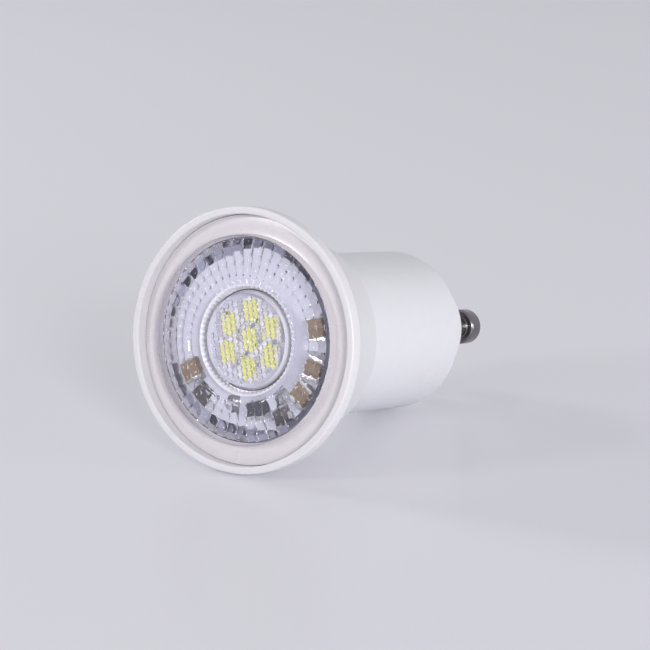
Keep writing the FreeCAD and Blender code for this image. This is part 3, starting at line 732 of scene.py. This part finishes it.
@dataclass
class Lens:
    """Clear plate with a faceted ring, a smooth middle, a fluted foot and a honeycomb of beads."""

    plateau: float = 0.35
    dish: float = 0.2
    dish_slope: float = 0.3
    dish_rings: tuple[float, ...] = (0.0, 1.0, 2.5, 4.0, 5.5, 7.0, 8.0)
    slope_share: float = 0.9
    slope_steps: int = 5
    facet_start: float = 8.7
    facet_pitch: float = 1.26
    facet_rows: int = 4
    facet_count: int = 48
    facet_curve: float = 1.6
    samples: int = 8
    flange_front: float = 1.6
    flange_back: float = 2.4
    flange_radius: float = 16.45
    flange_bore: float = 13.5
    plate_back: float = 1.95
    foot_inner: float = 6.5
    foot_inner_front: float = 6.2
    foot_outer: float = 6.95
    foot_outer_front: float = 7.25
    foot_steps: int = 8
    foot_zone: float = 0.8
    flute_count: int = 64
    flute_depth: float = 0.2
    bead_pitch: float = 0.87
    bead_radius: float = 0.42
    bead_height: float = 0.175
    bead_field: float = 5.9
    bead_turn: float = 22.0
    field_rings: int = 84
    crease: float = 24.0

    @property
    def segments(self) -> int:
        """Count of stretches round the plate."""
        return self.facet_count * self.samples

    @property
    def facet_end(self) -> float:
        """Radius at which the outermost facets end."""
        return self.facet_start + self.facet_rows * self.facet_pitch

    def angles(self) -> np.ndarray:
        """Give the angle of each stretch round the plate."""
        return np.arange(self.segments) * (math.tau / self.segments)

    def ring(self, radius: np.ndarray | float, height: np.ndarray | float) -> np.ndarray:
        """Lay one ring of points.

        Args:
            radius: one radius, or one for each angle.
            height: one height, or one for each angle.

        Returns:
            The points.
        """
        angles = self.angles()
        radius = np.broadcast_to(radius, angles.shape)
        height = np.broadcast_to(height, angles.shape)
        return np.stack([radius * np.cos(angles), radius * np.sin(angles), height], axis=-1)

    def facet_rise(self, radius: float, along: float) -> np.ndarray:
        """Work out how far the facets' domed backs stand out at one radius.

        Args:
            radius: the radius.
            along: place between a facet's inner and outer end, from -1 to 1.

        Returns:
            The rise at each angle.
        """
        across = 2 * (np.arange(self.segments) % self.samples) / self.samples - 1
        half_width = radius * math.pi / self.facet_count
        half_pitch = self.facet_pitch / 2
        rise = half_width ** 2 * (1 - across ** 2) + half_pitch ** 2 * (1 - along ** 2)
        return rise / (2 * self.facet_curve)

    def facet_places(self) -> list[Point]:
        """List the radii through the rows of facets.

        Returns:
            Each radius with its place between a facet's inner and outer end, from -1 to 1.
        """
        places = []
        for row in range(self.facet_rows):
            first = 0 if row == 0 else 1
            for sample in range(first, self.samples + 1):
                share = sample / self.samples
                places.append((self.facet_start + (row + share) * self.facet_pitch, 2 * share - 1))
        return places

    def front_rings(self) -> list[np.ndarray]:
        """Lay the front face from the middle to the flange's edge.

        Returns:
            The rings in order.
        """
        floor = self.plateau + self.dish
        edge = self.facet_start - self.dish_slope
        end = self.facet_end
        levels = [(radius, floor) for radius in self.dish_rings]
        for step in range(self.slope_steps + 1):
            turn = step / self.slope_steps
            ease = turn * turn * (3 - 2 * turn)
            levels.append((edge + self.dish_slope * self.slope_share * turn, floor - self.dish * ease))
        levels += [(radius, self.plateau) for radius, _ in self.facet_places()]
        levels += [(end + 0.03, self.plateau + 0.04), (end + 0.13, self.flange_front - 0.12),
                   (end + 0.18, self.flange_front - 0.03), (end + 0.28, self.flange_front),
                   (end + 1.2, self.flange_front), (self.flange_radius - 0.12, self.flange_front),
                   (self.flange_radius - 0.035, self.flange_front + 0.035),
                   (self.flange_radius, self.flange_front + 0.12)]
        return [self.ring(radius, height) for radius, height in levels]

    def flutes(self) -> np.ndarray:
        """Give how deep the foot's flutes are at each angle, from 0 to 1."""
        phase = (self.angles() * self.flute_count / math.tau) % 1.0
        return 1.0 - np.abs(2.0 * phase - 1.0)

    def back_rings(self) -> list[np.ndarray]:
        """Lay the flange's edge, the back of the plate and the foot, from outside to inside.

        Returns:
            The rings in order.
        """
        edge = [(self.flange_radius, self.flange_back - 0.1), (self.flange_radius - 0.1, self.flange_back),
                (self.flange_bore, self.flange_back), (self.flange_bore - 0.1, self.flange_back - 0.06),
                (self.flange_bore - 0.18, self.plate_back)]
        rings = [self.ring(radius, height) for radius, height in edge]
        for radius, along in reversed(self.facet_places()):
            if radius < self.flange_bore - 0.2:
                rings.append(self.ring(radius, self.plate_back + self.facet_rise(radius, along)))
        rings.append(self.ring(self.foot_outer_front + 0.15, self.plate_back))
        grooves = self.flute_depth * self.flutes()
        shares = [step / self.foot_steps for step in range(self.foot_steps + 1)]
        for share in shares[1:]:
            outer = self.foot_outer_front + (self.foot_outer - self.foot_outer_front) * share
            height = self.plate_back + (BOARD_FACE - self.plate_back) * share
            rings.append(self.ring(outer - grooves, min(height, BOARD_FACE - 0.04)))
        rings.append(self.ring(self.foot_outer - self.flute_depth - 0.05, BOARD_FACE))
        rings.append(self.ring(self.foot_inner + 0.05, BOARD_FACE))
        for share in shares:
            inner = self.foot_inner + (self.foot_inner_front - self.foot_inner) * share
            height = BOARD_FACE + (self.plate_back - BOARD_FACE) * share
            rings.append(self.ring(inner, min(height, BOARD_FACE - 0.03)))
        rings.append(self.ring(self.foot_inner_front - 0.15, self.plate_back))
        return rings

    def bead_centres(self) -> np.ndarray:
        """Place the beads' centres inside their round field.

        Returns:
            One row for each bead.
        """
        reach = self.bead_field - self.bead_radius
        turn = math.radians(self.bead_turn)
        rings = int(reach / self.bead_pitch) + 2
        places = []
        for column in range(-rings, rings + 1):
            for row in range(-rings, rings + 1):
                x = self.bead_pitch * (column + row / 2)
                y = self.bead_pitch * row * math.sqrt(3.0) / 2
                if math.hypot(x, y) <= reach:
                    places.append((x * math.cos(turn) - y * math.sin(turn),
                                   x * math.sin(turn) + y * math.cos(turn)))
        return np.array(places)

    def field_ring(self, radius: float, centres: np.ndarray) -> np.ndarray:
        """Lay one ring over the beads.

        Args:
            radius: the ring's radius.
            centres: the beads' centres.

        Returns:
            The points, raised where a bead is.
        """
        flat = self.ring(radius, self.plate_back)
        apart = np.linalg.norm(flat[:, None, :2] - centres[None, :, :], axis=-1).min(axis=1)
        dome = np.clip(1.0 - (apart / self.bead_radius) ** 2, 0.0, 1.0)
        flat[:, 2] += self.bead_height * dome
        return flat

    def build(self) -> list[Piece]:
        """Build and dress the plate.

        Returns:
            The piece.
        """
        centres = self.bead_centres()
        rings = self.front_rings() + self.back_rings()
        for step in range(self.field_rings):
            rings.append(self.field_ring(self.bead_field * (1 - step / self.field_rings), centres))
        rings.append(self.field_ring(0.0, centres))
        finishes = [LENS, LENS_RIM, LENS_FOOT_SHEEN]
        piece = make_piece("lens_plate", [Skin(np.stack(rings))], finishes, ["lens"], self.crease)
        for polygon in piece.data.polygons:
            place = polygon.center / MM
            radius = math.hypot(place.x, place.y)
            if radius > self.facet_end + 0.02:
                polygon.material_index = finishes.index(LENS_RIM)
            # The foot's faces take the white painted sheen.
            elif abs(radius - self.foot_outer) < self.foot_zone and place.z > self.plate_back + 0.03:
                polygon.material_index = finishes.index(LENS_FOOT_SHEEN)
        return [piece]


# Light board

@dataclass
class LightChips:
    """White chip frames with a sloped window and the yellow filling in each."""

    ring_radius: float = 3.7
    ring_turn: float = 35.0
    ring_count: int = 6
    width: float = 2.8
    length: float = 3.5
    height: float = 0.75
    border: float = 0.3
    well: float = 0.45
    fill: float = 0.37

    def places(self) -> list[Point]:
        """Give each chip's place: one in the middle and the rest round it.

        Returns:
            The chips' middles.
        """
        places = [(0.0, 0.0)]
        for number in range(self.ring_count):
            angle = math.radians(self.ring_turn + number * 360 / self.ring_count)
            places.append((self.ring_radius * math.cos(angle), self.ring_radius * math.sin(angle)))
        return places

    def build(self) -> list[Piece]:
        """Build and dress the chips.

        Returns:
            The frames and fillings.
        """
        top = BOARD_FACE - self.height
        window = self.border + 0.05
        floor = top + self.well
        surface = floor - self.fill
        frame_levels = [
            (BOARD_FACE, 0.02, 0.12), (BOARD_FACE - 0.05, 0.0, 0.12), (top + 0.08, 0.02, 0.14),
            (top + 0.02, 0.04, 0.14), (top, 0.09, 0.14), (top, self.border - 0.05, 0.3),
            (top + 0.04, self.border, 0.3), (floor, window + 0.06, 0.26)]
        fill_levels = [
            (floor, window + 0.08, 0.24), (floor - 0.05, window + 0.07, 0.24),
            (surface + 0.02, window + 0.01, 0.27), (surface, window + 0.05, 0.26),
            (surface + 0.03, window + 0.3, 0.2), (surface + 0.04, window + 0.7, 0.1)]
        pieces = []
        for number, place in enumerate(self.places(), start=1):
            for name, node, finish, levels in (("chip_frame", "led", CHIP_FRAME, frame_levels),
                                               ("chip_filling", "phosphor", PHOSPHOR, fill_levels)):
                skin = stacked(self.width, self.length, levels, place)
                pieces.append(make_piece(f"{name}_{number}", [skin], [finish], [f"{node}_{number}"]))
        return pieces


@dataclass
class EndCappedBlock:
    """Small surface-mounted block with a tinned cap at each end, lying along the board's rim."""

    node: str
    finish: Finish
    angle: float
    ring: float
    length: float
    width: float
    height: float
    cap: float = 0.5
    cap_edge: float = 0.1
    core_edge: float = 0.08
    overlap: float = 0.1
    step: float = 0.05

    def build(self) -> list[Piece]:
        """Build and dress the block.

        Returns:
            The piece.
        """
        top = BOARD_FACE - self.height - self.step
        core_length = self.length - 2 * self.cap + self.overlap
        core = soft_block(self.width, core_length, BOARD_FACE - self.step, top, self.core_edge)
        cap = soft_block(self.width + 2 * self.step, self.cap, BOARD_FACE, top - self.step, self.cap_edge)
        cap.finish = 1
        skins = [swung(core, self.angle, self.ring)]
        for side in (-1, 1):
            skins.append(swung(cap, self.angle, self.ring, side * (self.length - self.cap) / 2))
        return [make_piece(self.node + "_block", skins, [self.finish, TINNED], [self.node])]


@dataclass
class DriverChip:
    """Black moulded chip with bent leads on two sides."""

    angle: float = 85.0
    ring: float = 9.3
    length: float = 2.9
    width: float = 1.7
    height: float = 1.1
    edge: float = 0.12
    lead_count: int = 3
    lead_pitch: float = 0.95
    lead_width: float = 0.4
    lead_reach: float = 0.45
    lead_rise: float = 0.55
    lead_thickness: float = 0.2

    def lead(self, side: int, along: float) -> Skin:
        """Make one bent lead.

        Args:
            side: -1 or 1, the side of the chip.
            along: the lead's place along the chip.

        Returns:
            The lead's skin.
        """
        start = self.width / 2 - 0.05
        reach = self.width / 2 + self.lead_reach
        shoulder = BOARD_FACE - self.lead_rise
        route = [(start, shoulder), (start + 0.15, shoulder), (start + 0.25, BOARD_FACE - 0.12),
                 (reach, BOARD_FACE - self.lead_thickness / 2)]
        rings = []
        half = self.lead_width / 2
        thin = self.lead_thickness * 0.4
        for out, height in route:
            rings.append([(side * out, along + across * half, height + rise * thin)
                          for across, rise in ((-1, -1), (1, -1), (1, 1), (-1, 1))])
        return Skin(np.array([rings[0], *rings, rings[-1]], dtype=float), finish=1)

    def build(self) -> list[Piece]:
        """Build and dress the chip.

        Returns:
            The piece.
        """
        core = soft_block(self.width, self.length, BOARD_FACE - self.lead_thickness,
                          BOARD_FACE - self.height, self.edge)
        skins = [swung(core, self.angle, self.ring)]
        for number in range(self.lead_count):
            along = (number - (self.lead_count - 1) / 2) * self.lead_pitch
            for side in (-1, 1):
                skins.append(swung(self.lead(side, along), self.angle, self.ring))
        return [make_piece("driver_chip_body", skins, [CHIP_BLACK, TINNED], ["driver_ic"])]


@dataclass
class SolderJoint:
    """Bead of solder drawn up round a lead's end on the light board."""

    number: int
    angle: float
    ring: float = 9.0
    radius: float = 1.1
    height: float = 0.55
    segments: int = 40
    crease: float = 50.0

    def build(self) -> list[Piece]:
        """Build and dress the joint.

        Returns:
            The piece.
        """
        top = BOARD_FACE - self.height
        slope = ((1.0, BOARD_FACE), (0.93, BOARD_FACE - 0.08), (0.75, BOARD_FACE - 0.2),
                 (0.58, BOARD_FACE - 0.36), (0.42, top + 0.08), (0.25, top + 0.02))
        profile = [(0.0, BOARD_FACE), *((self.radius * share, height) for share, height in slope), (0.0, top)]
        turn = math.radians(self.angle)
        centre = (self.ring * math.cos(turn), self.ring * math.sin(turn))
        skin = Skin(turned(profile, self.segments, centre))
        node = f"solder_joint_{self.number}"
        return [make_piece(f"solder_bead_{self.number}", [skin], [SOLDER], [node], self.crease)]


# Contact pins

@dataclass
class ContactPin:
    """Turned pin with a collar on the boss and a rounded head."""

    number: int
    x: float
    inner: float = 41.9
    floor: float = 42.8
    boss_end: float = 44.3
    collar: float = 45.1
    under_head: float = 48.0
    tip: float = 50.6
    tail_radius: float = 1.9
    neck_radius: float = 1.55
    head_radius: float = 2.5
    segments: int = 96

    def build(self) -> list[Piece]:
        """Build and dress the pin.

        Returns:
            The piece.
        """
        corners = [(0.0, self.inner), (self.tail_radius, self.inner), (self.tail_radius, self.floor),
                   (self.neck_radius, self.floor), (self.neck_radius, self.boss_end),
                   (self.tail_radius, self.boss_end), (self.tail_radius, self.collar),
                   (self.neck_radius, self.collar), (self.neck_radius, self.under_head),
                   (self.head_radius, self.under_head), (self.head_radius, self.tip), (0.0, self.tip)]
        profile = rounded(corners, {1: 0.15, 6: 0.2, 7: 0.2, 8: 0.15, 9: 0.4, 10: 0.45})
        skin = Skin(turned(profile, self.segments, (self.x, 0.0)))
        return [make_piece(f"turned_pin_{self.number}", [skin], [NICKEL], [f"contact_pin_{self.number}"])]


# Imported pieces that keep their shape

@dataclass
class KeptPieces:
    """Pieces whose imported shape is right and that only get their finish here."""

    finishes: dict[str, Finish] = field(default_factory=lambda: {
        "led_board": BOARD, "thermal_pad": THERMAL, "heat_sink": SINK_PAINTED_SHADE, "driver_board": CIRCUIT,
        "electrolytic_capacitor": CAN, "inductor_core": CORE, "inductor_winding": COPPER,
        "bridge_rectifier": CHIP_BLACK, "fuse_resistor": RESISTOR_BLUE, "red_wire": WIRE_RED,
        "black_wire": WIRE_BLACK, "pin_wire_1": WIRE_WHITE, "pin_wire_2": WIRE_WHITE})

    def build(self) -> list[Piece]:
        """Dress the pieces.

        Returns:
            The pieces.
        """
        pieces = []
        for name, finish in self.finishes.items():
            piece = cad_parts[name]
            material = finish.material()
            if not piece.material_slots:
                piece.data.materials.append(material)
            for slot in piece.material_slots:
                slot.material = material
            pieces.append(piece)
        return pieces


# Table, light and camera

@dataclass(frozen=True)
class Softbox:
    """One soft lamp: where it stands as seen from the camera, its width and its share of the light."""

    name: str
    right: float
    up: float
    near: float
    width: float
    share: float


@dataclass
class Studio:
    """Pale table, soft lamps and the camera."""

    lamp_middle: Triple = (0.0, 0.0, 18.0)
    up: Triple = (0.1360, -0.9750, -0.1736)
    table_height: float = -17.55
    table_size: float = 3000.0
    table_colour: Colour = (0.845, 0.840, 0.897)
    table_drift: float = 0.985
    table_roughness: float = 0.3
    table_noise: Point = (3.0, 2.0)
    backdrop_colour: Colour = (0.640, 0.636, 0.690)
    even_share: float = 0.36
    world_tint: Colour = (0.97, 0.97, 1.0)
    world_light: float = 0.37
    camera_place: Triple = (193.83, -12.25, -278.37)
    camera_right: Triple = (0.8392, 0.01995, 0.5435)
    camera_up: Triple = (0.0, -0.9993, 0.0367)
    camera_back: Triple = (0.5439, -0.0308, -0.8386)
    lens_length: float = 144.3
    sensor_width: float = 36.0
    clip_reach: Point = (0.01, 20.0)
    softboxes: tuple[Softbox, ...] = (
        Softbox("front_softbox", 250.0, 290.0, 900.0, 220.0, 0.47),
        Softbox("right_softbox", 760.0, 90.0, 330.0, 320.0, 0.36),
        Softbox("left_softbox", -600.0, 290.0, 320.0, 170.0, 0.22),
        Softbox("far_softbox", -560.0, 300.0, -380.0, 160.0, 0.28),
    )

    def axes(self) -> tuple[Vector, Vector, Vector]:
        """Work out the table's directions as the camera sees them.

        Returns:
            To the right, up from the table and towards the camera.
        """
        up = Vector(self.up).normalized()
        right = Vector(self.camera_right).normalized()
        return right, up, right.cross(up).normalized()

    def build_table(self) -> Piece:
        """Lay the table against the bulb's side.

        Returns:
            The table.
        """
        right, up, near = self.axes()
        half = self.table_size / 2 * MM
        foot = up * (self.table_height * MM)
        corners = [foot + right * (half * x) + near * (half * y)
                   for x, y in ((-1, -1), (1, -1), (1, 1), (-1, 1))]
        mesh = bpy.data.meshes.new("table")
        mesh.from_pydata([tuple(corner) for corner in corners], [], [(0, 1, 2, 3)])
        if mesh.polygons[0].normal.dot(up) < 0:
            mesh.flip_normals()
        table = bpy.data.objects.new("table", mesh)
        bpy.context.scene.collection.objects.link(table)
        mesh.materials.append(self.table_material())
        return table

    @staticmethod
    def looking(bench: NodeBench) -> Socket:
        """Tell the rays that show what they meet from those that only bring light.

        Args:
            bench: where the nodes go.

        Returns:
            1 for the camera's rays and for those seen in metal or glass, else 0.
        """
        way = bench.add("ShaderNodeLightPath").outputs
        straight = bench.reckon("MAXIMUM", way["Is Camera Ray"], way["Is Glossy Ray"])
        return bench.reckon("MAXIMUM", straight, way["Is Transmission Ray"])

    def table_material(self) -> Material:
        """Make the table's pale top: part lit and part even where it is seen, and clear from below.

        Returns:
            The material.
        """
        material, bench = blank_material("table_top")
        place = bench.add("ShaderNodeTexCoord").outputs["Object"]
        low = tuple(self.table_drift * part for part in self.table_colour)
        tone = bench.blend(bench.noise(place, *self.table_noise), (*self.table_colour, 1.0), (*low, 1.0))
        lit = bench.add("ShaderNodeBsdfPrincipled", {"Base Color": tone, "Roughness": self.table_roughness})
        even = bench.add("ShaderNodeEmission", {"Color": (*self.backdrop_colour, 1.0), "Strength": 1.0})
        share = bench.reckon("MULTIPLY", self.looking(bench), self.even_share)
        top = bench.mix(share, lit.outputs[0], even.outputs[0])
        clear = bench.add("ShaderNodeBsdfTransparent").outputs[0]
        behind = bench.add("ShaderNodeNewGeometry").outputs["Backfacing"]
        bench.add("ShaderNodeOutputMaterial", {"Surface": bench.mix(behind, top, clear)})
        return material

    def build_world(self) -> None:
        """Set the surroundings: a modest light, and the table's tone where they are seen."""
        world = bpy.data.worlds.new("surroundings")
        world.use_nodes = True
        bench = NodeBench(world.node_tree)
        light, seen = (bench.add("ShaderNodeBackground", {"Color": (*colour, 1.0), "Strength": strength})
                       for colour, strength in ((self.world_tint, self.world_light),
                                                (self.backdrop_colour, 1.0)))
        mixed = bench.mix(self.looking(bench), light.outputs[0], seen.outputs[0])
        bench.add("ShaderNodeOutputWorld", {"Surface": mixed})
        bpy.context.scene.world = world

    def build_softbox(self, softbox: Softbox) -> Piece:
        """Hang one softbox, aimed at the bulb.

        Args:
            softbox: its place, width and share of the light.

        Returns:
            The lamp.
        """
        right, up, near = self.axes()
        arm = right * softbox.right + up * softbox.up + near * softbox.near
        lamp = bpy.data.lights.new(softbox.name, "AREA")
        lamp.shape = "SQUARE"
        lamp.size = softbox.width * MM
        lamp.energy = softbox.share * math.pi ** 2 * (arm.length * MM) ** 2
        stand = bpy.data.objects.new(softbox.name, lamp)
        stand.location = (Vector(self.lamp_middle) + arm) * MM
        stand.rotation_euler = arm.to_track_quat("Z", "Y").to_euler()
        stand.visible_camera = False
        bpy.context.scene.collection.objects.link(stand)
        return stand

    def build_camera(self) -> Piece:
        """Set up the camera at the photograph's viewing angle.

        Returns:
            The camera.
        """
        data = bpy.data.cameras.new("camera")
        data.lens = self.lens_length
        data.sensor_width = self.sensor_width
        data.clip_start, data.clip_end = self.clip_reach
        camera = bpy.data.objects.new("camera", data)
        columns = [Vector(axis).normalized()
                   for axis in (self.camera_right, self.camera_up, self.camera_back)]
        turn = Matrix(columns).transposed().to_4x4()
        camera.matrix_world = Matrix.Translation(Vector(self.camera_place) * MM) @ turn
        bpy.context.scene.collection.objects.link(camera)
        bpy.context.scene.camera = camera
        return camera

    def build(self) -> list[Piece]:
        """Set up the whole studio.

        Returns:
            The table, lamps and camera.
        """
        bpy.context.scene.view_settings.view_transform = "Standard"
        self.build_world()
        lamps = [self.build_softbox(softbox) for softbox in self.softboxes]
        return [self.build_table(), *lamps, self.build_camera()]


def board_parts() -> list[EndCappedBlock]:
    """List the capacitors and resistors round the light chips.

    Returns:
        The blocks.
    """
    blocks = []
    for number, angle in enumerate((-8.0, 20.0, 41.5, 157.0), start=1):
        blocks.append(EndCappedBlock(f"tan_capacitor_{number}", TAN, angle, 10.55, 3.2, 2.5, 1.0))
    for number, angle in enumerate((64.5, 137.0), start=1):
        blocks.append(EndCappedBlock(f"board_resistor_{number}", RESISTOR, angle, 10.95, 3.2, 1.6, 0.6))
    return blocks


def main() -> None:
    """Build the studio and every piece of the bulb, and log each piece's count of faces."""
    logging.basicConfig(level=logging.INFO, format="%(message)s")
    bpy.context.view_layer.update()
    assemblies = [Studio(), FrontHousing(), BaseShell(), Lens(), LightChips(), *board_parts(), DriverChip(),
                  SolderJoint(1, 58.0), SolderJoint(2, 111.0), ContactPin(1, -5.0), ContactPin(2, 5.0),
                  KeptPieces()]
    for assembly in assemblies:
        for piece in assembly.build():
            faces = len(piece.data.polygons) if piece.type == "MESH" else 0
            LOG.info("%s: %s, %d faces", type(assembly).__name__, piece.name, faces)


if __name__ == "__main__":
    main()
